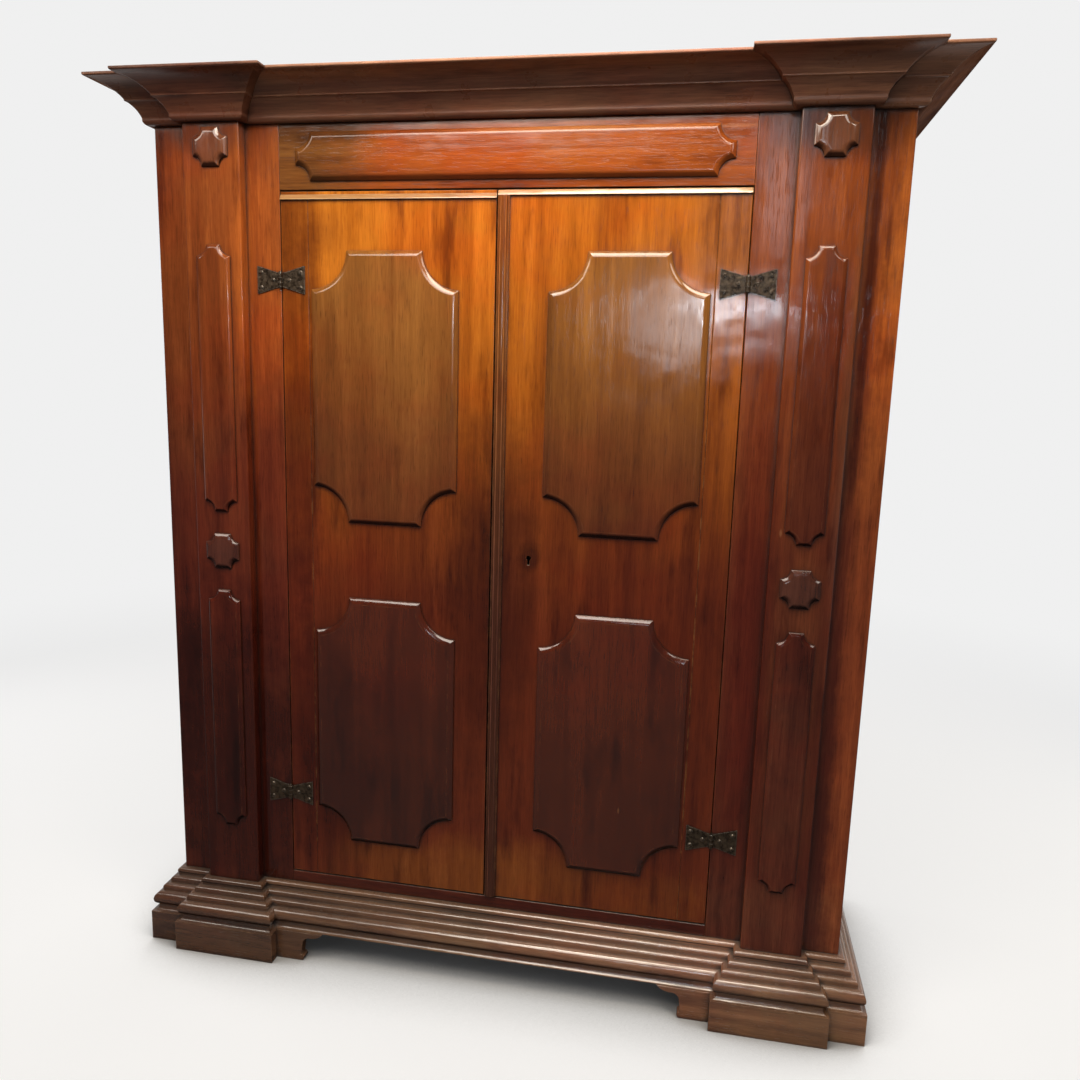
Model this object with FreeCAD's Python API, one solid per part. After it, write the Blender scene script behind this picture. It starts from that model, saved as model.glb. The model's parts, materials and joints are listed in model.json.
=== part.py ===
import FreeCAD, Part
import math
import os

# Two-door wardrobe with pilasters, a moulded base and a moulded cornice. Millimetres.
# +Z is up, the front faces -Y and +X is to the right of someone facing the doors.
# The origin is on the floor, below the middle of the overall box.

# Overall sizes
total_height = 2190.0
carcass_width = 1726.0
carcass_depth = 580.0

# Base and feet
base_height = 185.0
base_projection = 66.0
foot_height = 80.0
base_rail_depth = 60.0
bracket_toe_reach = 72.0
bracket_top_reach = 128.0
bracket_thickness = 26.0
bracket_toe_height = 46.0
bracket_nose = 8.0
side_foot_length = 150.0
side_arch_rise = 55.0

# Cornice
cornice_height = 92.0
cornice_projection = 108.0
cornice_seat = 12.0
cornice_back_thickness = 25.0

# Boards of the carcass
stile_thickness = 30.0
side_thickness = 28.0
back_thickness = 20.0
floor_thickness = 22.0
top_thickness = 20.0
bottom_rail_height = 30.0
side_plank_count = 3
back_plank_count = 8
floor_plank_count = 3
top_plank_count = 3

# Pilasters and their ornament
pilaster_width = 144.0
pilaster_thickness = 30.0
pilaster_outer_margin = 89.0
pilaster_inner_margin = 85.0
pilaster_panel_width = 86.0
pilaster_panel_bite = 26.0
pilaster_panel_relief = 10.0
pilaster_panel_foot_gap = 160.0
pilaster_panel_head_gap = 175.0
pilaster_panel_boss_gap = 56.0
boss_size = 88.0
boss_bite = 22.0
boss_relief = 11.0
boss_cornice_gap = 11.0
boss_middle_share = 0.47

# Frieze panel
frieze_height = 147.0
frieze_panel_side_margin = 42.0
frieze_panel_edge_margin = 19.5
frieze_panel_bite = 36.0
frieze_panel_relief = 12.0

# Doors
door_thickness = 28.0
door_edge_gap = 1.5
door_meeting_gap = 3.0
door_meeting_offset = -18.0
door_bottom_gap = 4.0
door_top_gap = 3.0
door_strip_width = 68.0
door_panel_hinge_margin = 78.0
door_panel_inner = 105.0
door_panel_bite = 88.0
door_panel_relief = 12.0
door_panel_bottom_margin = 106.0
door_panel_top_margin = 136.0
door_panel_middle_gap = 190.0
door_middle_share = 0.494
panel_edge_width = 15.0
panel_lip = 4.5
panel_edge_shares = ((0.0, 0.0), (0.45, 0.58), (1.0, 1.0))
top_bead_height = 13.0
top_bead_relief = 5.5
top_bead_lip = 2.5
left_bead_drop = 6.0
astragal_width = 28.0
astragal_relief = 10.0
astragal_setback = 0.5

# Battens on the backs of the doors
batten_height = 70.0
batten_thickness = 20.0
batten_outer_inset = 28.0
batten_free_inset = 110.0
batten_lock_gap = 90.0

# Butterfly hinges
hinge_bottom_inset = 224.0
hinge_top_inset = 204.0
hinge_leaf_length = 60.0
hinge_leaf_end_height = 65.0
hinge_leaf_waist_height = 33.0
hinge_leaf_thickness = 2.6
hinge_barrel_radius = 5.5
hinge_pin_radius = 3.0
hinge_running_clearance = 0.05
hinge_gap = 0.4
hinge_seat_gap = 0.3
pin_head_radius = 4.6
nail_head_radius = 5.0
nail_head_height = 2.4
nail_shank_radius = 1.6

# Lock on the right door and its keeper on the left door
keyhole_offset = 75.0
keyhole_rise = 35.0
keyhole_radius = 5.5
keyhole_slot_width = 5.0
keyhole_slot_drop = 17.0
lock_width = 150.0
lock_height = 110.0
lock_depth = 20.0
lock_plate = 3.0
lock_edge_inset = 5.0
bolt_height = 18.0
bolt_thickness = 10.0
bolt_length = 110.0
bolt_clearance = 0.3
bolt_rest_inset = 2.0
keeper_width = 26.0
keeper_height = 46.0
keeper_wall = 4.0
keeper_edge_inset = 3.0

# Upright bolt that holds the left door shut
door_bolt_width = 12.0
door_bolt_length = 260.0
door_bolt_offset = 48.0
door_bolt_rest_gap = 6.0
door_bolt_knob_radius = 7.0
door_bolt_knob_length = 16.0
guide_height = 22.0
guide_wall = 3.5
guide_clearance = 0.3
guide_heights_share = (0.2, 0.8)
rail_back_clearance = 1.2

# Shelf and hanging rail inside
hat_space_height = 346.0
shelf_thickness = 22.0
shelf_front_gap = 70.0
cleat_height = 40.0
cleat_thickness = 24.0
rail_radius = 16.0
rail_drop = 110.0
socket_size = 76.0
socket_thickness = 24.0
socket_clearance = 0.3

# General
edge_round = 2.0
plank_bevel = 1.2
fit_gap = 0.3
overrun = 10.0

# Moulding outlines as shares of projection and height, from the bottom up. A pair is a straight run to that
# point; four numbers are an arc through the first point to the second.
base_moulding_shares = (
    (0.92, 0.0),
    (0.80, 0.06, 0.78, 0.15),
    (0.93, 0.33, 0.70, 0.49),
    (0.65, 0.49),
    (0.65, 0.54),
    (0.62, 0.63, 0.50, 0.66),
    (0.43, 0.66),
    (0.43, 0.70),
    (0.40, 0.78, 0.28, 0.81),
    (0.20, 0.81),
    (0.20, 0.87),
    (0.23, 0.95, 0.14, 1.0),
)
cornice_moulding_shares = (
    (0.04, 0.0),
    (0.15, 0.03, 0.18, 0.11),
    (0.18, 0.15),
    (0.265, 0.345, 0.40, 0.50),
    (0.43, 0.50),
    (0.43, 0.535),
    (0.64, 0.775, 0.93, 0.915),
    (0.97, 0.915),
    (1.0, 0.94),
    (1.0, 1.0),
)

# Bracket curve between toe and top, as shares of the space between them
bracket_ogee_shares = ((0.10, 0.42), (0.40, 0.58), (0.75, 0.70))

# Places worked out from the sizes above
half_width = carcass_width / 2
total_depth = carcass_depth + pilaster_thickness + cornice_projection
front_y = cornice_projection + pilaster_thickness - total_depth / 2
back_y = front_y + carcass_depth
cornice_low = total_height - cornice_height
base_moulding_height = base_height - foot_height
frieze_low = cornice_low - frieze_height
pilaster_centre = half_width - pilaster_outer_margin - pilaster_width / 2
opening_half = pilaster_centre - pilaster_width / 2 - pilaster_inner_margin
door_low = base_height + bottom_rail_height + door_bottom_gap
door_middle = door_low + door_middle_share * (frieze_low - door_low)
keyhole_height = door_middle + keyhole_rise
hinge_heights = (door_low + hinge_bottom_inset, frieze_low - hinge_top_inset)
batten_middle = keyhole_height - lock_height / 2 - batten_lock_gap - batten_height / 2
batten_heights = (hinge_heights[0], batten_middle, hinge_heights[1])
boss_upper_height = cornice_low - boss_cornice_gap - boss_size / 2
boss_lower_height = base_height + boss_middle_share * (cornice_low - base_height)
boss_margin = boss_size / 2 + pilaster_panel_boss_gap
shelf_height = cornice_low - hat_space_height - shelf_thickness
rail_height = shelf_height - rail_drop
door_back_y = front_y + door_thickness
hinge_axis_y = front_y - hinge_barrel_radius - hinge_gap
left_door_free_x = door_meeting_offset - door_meeting_gap / 2
right_door_free_x = door_meeting_offset + door_meeting_gap / 2
left_door_hinge_x = -opening_half + door_edge_gap
right_door_hinge_x = opening_half - door_edge_gap
door_high = frieze_low - door_top_gap
lock_left_x = right_door_free_x + lock_edge_inset

os.makedirs("parts", exist_ok=True)


def save(name, *solids):
    shape = solids[0] if len(solids) == 1 else Part.makeCompound(list(solids))
    shape.exportStep("parts/" + name + ".step")


def vector(x, y, z):
    return FreeCAD.Vector(x, y, z)


def box(x_low, x_high, y_low, y_high, z_low, z_high):
    return Part.makeBox(x_high - x_low, y_high - y_low, z_high - z_low, vector(x_low, y_low, z_low))


def mirrored(shape):
    return shape.mirror(vector(0, 0, 0), vector(1, 0, 0))


def in_plane(edge, axis, places):
    """True where the edge runs along the axis and stands at all the given (axis, value) places."""
    direction = edge.tangentAt(edge.FirstParameter)
    if abs(abs(getattr(direction, axis)) - 1) > fit_gap / overrun:
        return False
    middle = edge.CenterOfMass
    return all(abs(getattr(middle, place) - value) < fit_gap for place, value in places)


def soft_board(x_low, x_high, y_low, y_high, z_low, z_high, radius, axis="z"):
    """A board whose two long front edges are rounded."""
    board = box(x_low, x_high, y_low, y_high, z_low, z_high)
    sides = (("x", x_low), ("x", x_high)) if axis == "z" else (("z", z_low), ("z", z_high))
    edges = [e for e in board.Edges if any(in_plane(e, axis, (("y", y_low), side)) for side in sides)]
    return board.makeFillet(radius, edges)


def planks(x_low, x_high, y_low, y_high, z_low, z_high, count, across="x"):
    """Planks side by side, with a small bevel along the joints on both faces."""
    boards = []
    low, high = (x_low, x_high) if across == "x" else (y_low, y_high)
    step = (high - low) / count
    for index in range(count):
        start = low + index * step
        if across == "x":
            board = box(start, start + step, y_low, y_high, z_low, z_high)
            along, faces = "z", [("x", start), ("x", start + step)]
        elif z_high - z_low > x_high - x_low:
            board = box(x_low, x_high, start, start + step, z_low, z_high)
            along, faces = "z", [("y", start), ("y", start + step)]
        else:
            board = box(x_low, x_high, start, start + step, z_low, z_high)
            along, faces = "x", [("y", start), ("y", start + step)]
        edges = [e for e in board.Edges if any(in_plane(e, along, (face,)) for face in faces)]
        boards.append(board.makeChamfer(plank_bevel, edges))
    return boards


def path_edges(start, steps):
    """Edges of an outline from start through (point) or (middle, point) steps."""
    edges = []
    here = start
    for step in steps:
        there = step[-1]
        if len(step) == 2:
            edges.append(Part.Arc(here, step[0], there).toShape())
        elif here.distanceToPoint(there) > 0:
            edges.append(Part.LineSegment(here, there).toShape())
        here = there
    return edges


def moulding_prism(shares, projection, low, height, depth, length, foot=0):
    """A moulding that faces -Y, with its wall at y = 0, running from x = 0 along +X."""
    def place(out_share, up_share):
        return vector(0, -out_share * projection, low + foot + up_share * height)
    start = vector(0, depth, low)
    steps = []
    if foot:
        steps.append((vector(0, -projection, low),))
        steps.append((vector(0, -projection, low + foot),))
    for share in shares:
        points = [place(share[i], share[i + 1]) for i in range(0, len(share), 2)]
        steps.append(tuple(points))
    steps.append((vector(0, depth, low + foot + height),))
    steps.append((start,))
    face = Part.Face(Part.Wire(path_edges(start, steps)))
    return face.extrude(vector(length, 0, 0))


def moulded_block(shares, projection, low, height, x_low, x_high, y_front, y_rear, foot=0):
    """A block with the moulding mitred round its front and both sides."""
    wide = x_high - x_low + 2 * (projection + overrun)
    deep = y_rear - y_front + projection + overrun
    front = moulding_prism(shares, projection, low, height, y_rear - y_front, wide, foot)
    front.translate(vector(x_low - projection - overrun, y_front, 0))
    right = moulding_prism(shares, projection, low, height, wide, deep, foot)
    right.rotate(vector(0, 0, 0), vector(0, 0, 1), 90)
    right.translate(vector(x_high, y_rear - deep, 0))
    left = moulding_prism(shares, projection, low, height, wide, deep, foot)
    left.rotate(vector(0, 0, 0), vector(0, 0, 1), -90)
    left.translate(vector(x_low, y_rear, 0))
    return front.common(right).common(left)


def plan_prism(points, low, high):
    corners = [vector(x, y, low) for x, y in points]
    return Part.Face(Part.makePolygon(corners + corners[:1])).extrude(vector(0, 0, high - low))


def moulded_set(shares, projection, low, height, seat, foot=0):
    """The mitred pieces of a base or cornice: front, right block, right return and right side."""
    high = low + foot + height
    ring = moulded_block(shares, projection, low, height, -half_width, half_width, front_y, back_y, foot)
    hollow = box(-half_width + seat, half_width - seat, front_y + seat, back_y + overrun,
                 low - overrun, high + overrun)
    ring = ring.cut(hollow)
    inner = pilaster_centre - pilaster_width / 2
    outer = pilaster_centre + pilaster_width / 2
    block_front = front_y - pilaster_thickness
    block = moulded_block(shares, projection, low, height, inner, outer, block_front, front_y, foot)
    ring = ring.cut(block).cut(mirrored(block))
    far = half_width + projection + overrun
    near_y = front_y - projection - overrun
    middle = box(-pilaster_centre, pilaster_centre, near_y, front_y + seat, low + foot, high)
    front = ring.common(middle)
    corner = seat + overrun
    return_plan = (
        (pilaster_centre, near_y),
        (half_width + front_y - near_y, near_y),
        (half_width - corner, front_y + corner),
        (pilaster_centre, front_y + corner),
    )
    side_plan = (
        (half_width + front_y - near_y, near_y),
        (far, near_y),
        (far, back_y),
        (half_width - corner, back_y),
        (half_width - corner, front_y + corner),
    )
    front_return = ring.common(plan_prism(return_plan, low, high))
    side = ring.common(plan_prism(side_plan, low, high))
    return front, block, front_return, side


def one_solid(shape):
    """The largest solid of a shape."""
    return max(shape.Solids, key=lambda solid: solid.Volume)


def bitten_outline(width, height, bite, inset, y):
    """Outline of a panel whose corners are bitten by circles about its corners, set in by an inset."""
    half_w = width / 2
    half_h = height / 2
    radius = bite + inset
    reach = math.sqrt(radius ** 2 - inset ** 2)
    diagonal = radius * math.sqrt(0.5)
    steps = []
    start = vector(-half_w + reach, y, half_h - inset)
    for right, up in ((1, 1), (1, -1), (-1, -1), (-1, 1)):
        flat = vector(right * (half_w - reach), y, up * (half_h - inset))
        upright = vector(right * (half_w - inset), y, up * (half_h - reach))
        middle = vector(right * (half_w - diagonal), y, up * (half_h - diagonal))
        first, last = (flat, upright) if right * up > 0 else (upright, flat)
        steps.append((first,))
        steps.append((middle, last))
    steps.append((start,))
    return Part.Wire(path_edges(start, steps))


def bitten_panel(centre_x, low, high, width, bite, relief, y_seat, edge_width=panel_edge_width):
    """A raised panel with a gently rounded slope above a thin lip, seated on the plane y_seat."""
    height = high - low
    outlines = [bitten_outline(width, height, bite, 0, 0)]
    for inset_share, rise_share in panel_edge_shares:
        rise = panel_lip + (relief - panel_lip) * rise_share
        outlines.append(bitten_outline(width, height, bite, edge_width * inset_share, -rise))
    panel = Part.makeLoft(outlines, True, True)
    panel.translate(vector(centre_x, y_seat, low + height / 2))
    return panel


def base_pieces():
    front, block, front_return, side = moulded_set(
        base_moulding_shares, base_projection, 0, base_moulding_height, base_rail_depth, foot_height)
    block_inner = pilaster_centre - pilaster_width / 2 - base_projection
    side_front = front_y + side_foot_length
    side_rear = back_y - side_foot_length
    arch = side_arch(side_front, side_rear)
    side = one_solid(side.cut(arch))
    front_return = one_solid(front_return)
    save("base_front_rail", one_solid(front))
    save("base_block_right", one_solid(block))
    save("base_block_left", mirrored(one_solid(block)))
    save("base_return_right", front_return)
    save("base_return_left", mirrored(front_return))
    save("base_side_right", side)
    save("base_side_left", mirrored(side))
    bracket = foot_bracket(block_inner)
    save("base_bracket_right", bracket)
    save("base_bracket_left", mirrored(bracket))
    inner_x = half_width - base_rail_depth
    back_rail = box(-inner_x, inner_x, back_y - base_rail_depth, back_y, foot_height, base_height)
    save("base_back_rail", back_rail)


def side_arch(y_low, y_high):
    """The opening between the two feet of a base side, with rounded upper corners."""
    opening = box(half_width - base_rail_depth - overrun, half_width + base_projection + overrun,
                  y_low, y_high, -overrun, side_arch_rise)
    tops = [e for e in opening.Edges
            if in_plane(e, "x", (("z", side_arch_rise),))]
    return opening.makeFillet(side_arch_rise / 2, tops)


def foot_bracket(block_inner):
    """The scrolled bracket beside the right front block, below the front rail."""
    face_y = front_y - base_projection
    toe_x = block_inner - bracket_toe_reach
    top_x = block_inner - bracket_top_reach
    run = toe_x - top_x
    rise = foot_height - bracket_toe_height

    def place(x, z):
        return vector(x, face_y, z)
    ogee = [place(toe_x - along * run, bracket_toe_height + up * rise) for along, up in bracket_ogee_shares]
    start = place(block_inner, 0)
    knuckle = place(toe_x, bracket_toe_height)
    steps = (
        (place(toe_x + bracket_nose / 2, 0),),
        (place(toe_x - bracket_nose / 2, bracket_nose), place(toe_x + bracket_nose / 2, 2 * bracket_nose)),
        (knuckle,),
        (ogee[0], ogee[1]),
        (ogee[2], place(top_x, foot_height)),
        (place(block_inner, foot_height),),
        (start,),
    )
    face = Part.Face(Part.Wire(path_edges(start, steps)))
    return face.extrude(vector(0, bracket_thickness, 0))


def cornice_pieces():
    front, block, front_return, side = moulded_set(
        cornice_moulding_shares, cornice_projection, cornice_low, cornice_height, cornice_seat)
    save("cornice_front", one_solid(front))
    save("cornice_block_right", one_solid(block))
    save("cornice_block_left", mirrored(one_solid(block)))
    save("cornice_return_right", one_solid(front_return))
    save("cornice_return_left", mirrored(one_solid(front_return)))
    save("cornice_side_right", one_solid(side))
    save("cornice_side_left", mirrored(one_solid(side)))
    inner_x = half_width - cornice_seat
    rear = box(-inner_x, inner_x, back_y - cornice_back_thickness, back_y, cornice_low, total_height)
    save("cornice_back_rail", rear)


def carcass_pieces():
    frame_back = front_y + stile_thickness
    inner_back = back_y - back_thickness
    inner_x = half_width - side_thickness
    sides = planks(inner_x, half_width, frame_back, inner_back, base_height, cornice_low,
                   side_plank_count, "y")
    save("side_boards_right", *sides)
    save("side_boards_left", *[mirrored(board) for board in sides])
    save("back_boards", *planks(-half_width, half_width, inner_back, back_y, base_height, cornice_low,
                                back_plank_count))
    save("floor_boards", *planks(-inner_x, inner_x, frame_back, inner_back, base_height,
                                 base_height + floor_thickness, floor_plank_count, "y"))
    top_x = half_width - cornice_seat
    save("top_boards", *planks(-top_x, top_x, front_y + cornice_seat, back_y - cornice_back_thickness,
                               cornice_low, cornice_low + top_thickness, top_plank_count, "y"))
    stile = soft_board(opening_half, half_width, front_y, frame_back, base_height, cornice_low, edge_round)
    save("front_stile_right", stile)
    save("front_stile_left", mirrored(stile))
    frieze = soft_board(-opening_half, opening_half, front_y, frame_back, frieze_low, cornice_low,
                        edge_round, "x")
    save("frieze_rail", frieze)
    rail_high = base_height + bottom_rail_height
    save("bottom_rail", soft_board(-opening_half, opening_half, front_y, frame_back, base_height, rail_high,
                                   edge_round, "x"))


def pilaster_pieces():
    face_y = front_y - pilaster_thickness
    half = pilaster_width / 2
    pilaster = soft_board(pilaster_centre - half, pilaster_centre + half, face_y, front_y, base_height,
                          cornice_low, 2 * edge_round)
    save("pilaster_right", pilaster)
    save("pilaster_left", mirrored(pilaster))
    spans = ((boss_lower_height + boss_margin, boss_upper_height - boss_size / 2 - pilaster_panel_head_gap),
             (base_height + pilaster_panel_foot_gap, boss_lower_height - boss_margin))
    panels = [bitten_panel(pilaster_centre, low, high, pilaster_panel_width, pilaster_panel_bite,
                           pilaster_panel_relief, face_y, panel_edge_width * 2 / 3) for low, high in spans]
    save("pilaster_panels_right", *panels)
    save("pilaster_panels_left", *[mirrored(panel) for panel in panels])
    bosses = []
    for height in (boss_upper_height, boss_lower_height):
        boss = bitten_panel(pilaster_centre, height - boss_size / 2, height + boss_size / 2, boss_size,
                            boss_bite, boss_relief, face_y)
        bosses += [boss, mirrored(boss)]
    save("pilaster_bosses", *bosses)
    panel_low = frieze_low + frieze_panel_edge_margin
    panel_high = cornice_low - frieze_panel_edge_margin
    panel_width = 2 * (opening_half - frieze_panel_side_margin)
    frieze_panel = bitten_panel(0, panel_low, panel_high, panel_width, frieze_panel_bite,
                                frieze_panel_relief, front_y)
    save("frieze_panel", frieze_panel)


def door_boards(hinge_x, free_x):
    """A narrow strip on the hinge side and one wide board."""
    seam = hinge_x + math.copysign(door_strip_width, free_x - hinge_x)
    boards = []
    for first, last in ((hinge_x, seam), (seam, free_x)):
        boards += planks(min(first, last), max(first, last), front_y, door_back_y, door_low, door_high, 1)
    return boards


def keyhole(depth_low, depth_high):
    """The round and slot of the keyhole as one cutter from depth_low to depth_high."""
    deep = depth_high - depth_low
    centre = vector(keyhole_offset, depth_low, keyhole_height)
    ring = Part.makeCylinder(keyhole_radius, deep, centre, vector(0, 1, 0))
    slot = box(keyhole_offset - keyhole_slot_width / 2, keyhole_offset + keyhole_slot_width / 2,
               depth_low, depth_high, keyhole_height - keyhole_slot_drop, keyhole_height)
    return ring.fuse(slot)


def door_pieces():
    left = door_boards(left_door_hinge_x, left_door_free_x)
    right = door_boards(right_door_hinge_x, right_door_free_x)
    hole = keyhole(front_y - overrun, door_back_y + overrun)
    right = [board.cut(hole).Solids[0] for board in right]
    save("left_door_boards", *left)
    save("right_door_boards", *right)
    panel_outer = opening_half - door_panel_hinge_margin
    width = panel_outer - door_panel_inner
    centre = (panel_outer + door_panel_inner) / 2
    spans = {"upper": (door_middle + door_panel_middle_gap / 2, frieze_low - door_panel_top_margin),
             "lower": (door_low + door_panel_bottom_margin, door_middle - door_panel_middle_gap / 2)}
    for name, (low, high) in spans.items():
        panel = bitten_panel(centre, low, high, width, door_panel_bite, door_panel_relief, front_y)
        save("right_door_" + name + "_panel", panel)
        save("left_door_" + name + "_panel", mirrored(panel))
    save("left_door_top_bead", top_bead(left_door_hinge_x, left_door_free_x, door_high - left_bead_drop))
    save("right_door_top_bead", top_bead(right_door_free_x, right_door_hinge_x, door_high))
    save("meeting_astragal", astragal())
    save("left_door_battens", *[batten(left_door_hinge_x + batten_outer_inset,
                                       left_door_free_x - batten_free_inset, z) for z in batten_heights])
    save("right_door_battens", *[batten(right_door_free_x + batten_free_inset,
                                        right_door_hinge_x - batten_outer_inset, z) for z in batten_heights])


def top_bead(x_low, x_high, high):
    """A strip along the top of a door's face that slopes outwards to a lip, as a drip moulding does."""
    low = high - top_bead_height
    outer = front_y - top_bead_relief
    start = vector(x_low, front_y, low)
    steps = (
        (vector(x_low, outer, low),),
        (vector(x_low, outer, low + top_bead_lip),),
        (vector(x_low, front_y, high),),
        (start,),
    )
    return Part.Face(Part.Wire(path_edges(start, steps))).extrude(vector(x_high - x_low, 0, 0))


def astragal():
    """The moulded strip on the meeting edge of the right door: a round between two fillets."""
    left = right_door_free_x + astragal_setback
    right = left + astragal_width - astragal_setback
    fillet = astragal_width / 7
    shelf = astragal_relief / 2
    low = door_low
    high = door_high - top_bead_height

    def place(x, out):
        return vector(x, front_y - out, low)
    start = place(left, 0)
    middle = (left + right) / 2
    steps = (
        (place(left, shelf),),
        (place(left + fillet, shelf),),
        (place(middle, astragal_relief), place(right - fillet, shelf)),
        (place(right, shelf),),
        (place(right, 0),),
        (start,),
    )
    return Part.Face(Part.Wire(path_edges(start, steps))).extrude(vector(0, 0, high - low))


def batten(x_low, x_high, height):
    board = box(x_low, x_high, door_back_y, door_back_y + batten_thickness, height - batten_height / 2,
                height + batten_height / 2)
    rear = [e for e in board.Edges if abs(e.CenterOfMass.y - door_back_y - batten_thickness) < fit_gap]
    return board.makeChamfer(2 * edge_round, rear)


def hinge_plate(axis_x, height, side):
    """One dovetail leaf on the wood's face; side is +1 to the right of the hinge line, -1 to its left."""
    start = hinge_barrel_radius + 2 * hinge_gap
    face = front_y - hinge_seat_gap
    points = [
        vector(axis_x + side * start, face, height - hinge_leaf_waist_height / 2),
        vector(axis_x + side * hinge_leaf_length, face, height - hinge_leaf_end_height / 2),
        vector(axis_x + side * hinge_leaf_length, face, height + hinge_leaf_end_height / 2),
        vector(axis_x + side * start, face, height + hinge_leaf_waist_height / 2),
    ]
    plate = Part.Face(Part.makePolygon(points + points[:1]))
    return plate.extrude(vector(0, -hinge_leaf_thickness, 0))


def knuckle(axis_x, z_low, z_high, side):
    """A barrel length round the pin with the tongue that joins it to its leaf."""
    length = z_high - z_low
    base = vector(axis_x, hinge_axis_y, z_low)
    barrel = Part.makeCylinder(hinge_barrel_radius, length, base)
    reach = hinge_barrel_radius + 3 * hinge_gap
    x_low, x_high = sorted((axis_x, axis_x + side * reach))
    tongue_back = front_y - hinge_seat_gap
    tongue = box(x_low, x_high, tongue_back - hinge_leaf_thickness, tongue_back, z_low, z_high)
    bore = Part.makeCylinder(hinge_pin_radius + hinge_running_clearance, length, base)
    return barrel.fuse(tongue).cut(bore)


def hinge_knuckle_spans(height):
    """Height ranges of the lower, middle and upper barrel lengths."""
    third = hinge_leaf_waist_height / 3
    low = height - hinge_leaf_waist_height / 2
    return [(low + i * third + hinge_gap / 2, low + (i + 1) * third - hinge_gap / 2) for i in range(3)]


def hinge_pieces():
    frame_leaves, pins, frame_nails = [], [], []
    for door, axis_x, side in (("left", -opening_half, 1), ("right", opening_half, -1)):
        door_leaves, door_nails = [], []
        for height in hinge_heights:
            spans = hinge_knuckle_spans(height)
            frame = hinge_plate(axis_x, height, -side)
            for span in (spans[0], spans[2]):
                frame = frame.fuse(knuckle(axis_x, span[0], span[1], -side))
            leaf = hinge_plate(axis_x, height, side).fuse(knuckle(axis_x, spans[1][0], spans[1][1], side))
            frame_nails += nails(axis_x, height, -side)
            door_nails += nails(axis_x, height, side)
            for nail in nails(axis_x, height, -side):
                frame = frame.cut(nail)
            for nail in nails(axis_x, height, side):
                leaf = leaf.cut(nail)
            frame_leaves.append(one_solid(frame.removeSplitter()))
            door_leaves.append(one_solid(leaf.removeSplitter()))
            pins.append(hinge_pin(axis_x, spans[0][0], spans[2][1]))
        save(door + "_door_hinge_leaves", *door_leaves)
        save(door + "_door_hinge_nails", *door_nails)
    save("hinge_frame_leaves", *frame_leaves)
    save("hinge_frame_nails", *frame_nails)
    save("hinge_pins", *pins)


def hinge_pin(axis_x, z_low, z_high):
    """The pin with a button head at each end, resting on the barrel."""
    pin = Part.makeCylinder(hinge_pin_radius, z_high - z_low, vector(axis_x, hinge_axis_y, z_low))
    for z, direction in ((z_high, 1), (z_low, -1)):
        head = Part.makeCone(pin_head_radius, pin_head_radius / 2, pin_head_radius,
                             vector(axis_x, hinge_axis_y, z), vector(0, 0, direction))
        pin = pin.fuse(head)
    return pin


def nails(axis_x, height, side):
    """Three hand-made nails through a leaf: a domed head outside and a shank in the wood."""
    face = front_y - hinge_seat_gap - hinge_leaf_thickness
    outer = hinge_leaf_length - 2 * nail_head_radius
    upright = hinge_leaf_end_height / 2 - 3 * nail_head_radius
    inner = hinge_barrel_radius + 3 * nail_head_radius
    places = ((outer, upright), (outer, -upright), (inner, 0))
    solids = []
    for along, up in places:
        seat = vector(axis_x + side * along, face, height + up)
        head = Part.makeCone(nail_head_radius, nail_head_radius / 2, nail_head_height, seat, vector(0, -1, 0))
        shank_length = hinge_leaf_thickness + hinge_seat_gap
        shank = Part.makeCylinder(nail_shank_radius, shank_length, seat, vector(0, 1, 0))
        solids.append(head.fuse(shank))
    return solids


def lock_pieces():
    low = keyhole_height - lock_height / 2
    case = box(lock_left_x, lock_left_x + lock_width, door_back_y, door_back_y + lock_depth,
               low, low + lock_height)
    bolt_y = door_back_y + (lock_depth - bolt_thickness) / 2
    bolt_z = keyhole_height + keyhole_radius + bolt_height / 2
    bolt_left = lock_left_x + bolt_rest_inset
    bolt_solid = box(bolt_left, bolt_left + bolt_length, bolt_y, bolt_y + bolt_thickness,
                     bolt_z - bolt_height / 2, bolt_z + bolt_height / 2)
    room = box(lock_left_x - overrun, bolt_left + bolt_length + bolt_clearance,
               bolt_y - bolt_clearance, bolt_y + bolt_thickness + bolt_clearance,
               bolt_z - bolt_height / 2 - bolt_clearance, bolt_z + bolt_height / 2 + bolt_clearance)
    key_room = keyhole(door_back_y - overrun, door_back_y + lock_depth - lock_plate)
    rear = [e for e in case.Edges if abs(e.CenterOfMass.y - door_back_y - lock_depth) < fit_gap]
    case = case.makeChamfer(edge_round, rear).cut(room).cut(key_room)
    save("lock_case", case)
    save("lock_bolt", bolt_solid)
    save("lock_keeper", keeper(bolt_y, bolt_z))


def keeper(bolt_y, bolt_z):
    """The staple on the left door's back that the thrown lock bolt enters."""
    right = left_door_free_x - keeper_edge_inset
    rear = bolt_y + bolt_thickness + bolt_clearance + keeper_wall
    body = box(right - keeper_width, right, door_back_y, rear,
               bolt_z - keeper_height / 2, bolt_z + keeper_height / 2)
    pocket = box(right - keeper_width - overrun, right + overrun, door_back_y - overrun,
                 bolt_y + bolt_thickness + bolt_clearance, bolt_z - bolt_height / 2 - 2 * bolt_clearance,
                 bolt_z + bolt_height / 2 + 2 * bolt_clearance)
    return body.cut(pocket)


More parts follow.
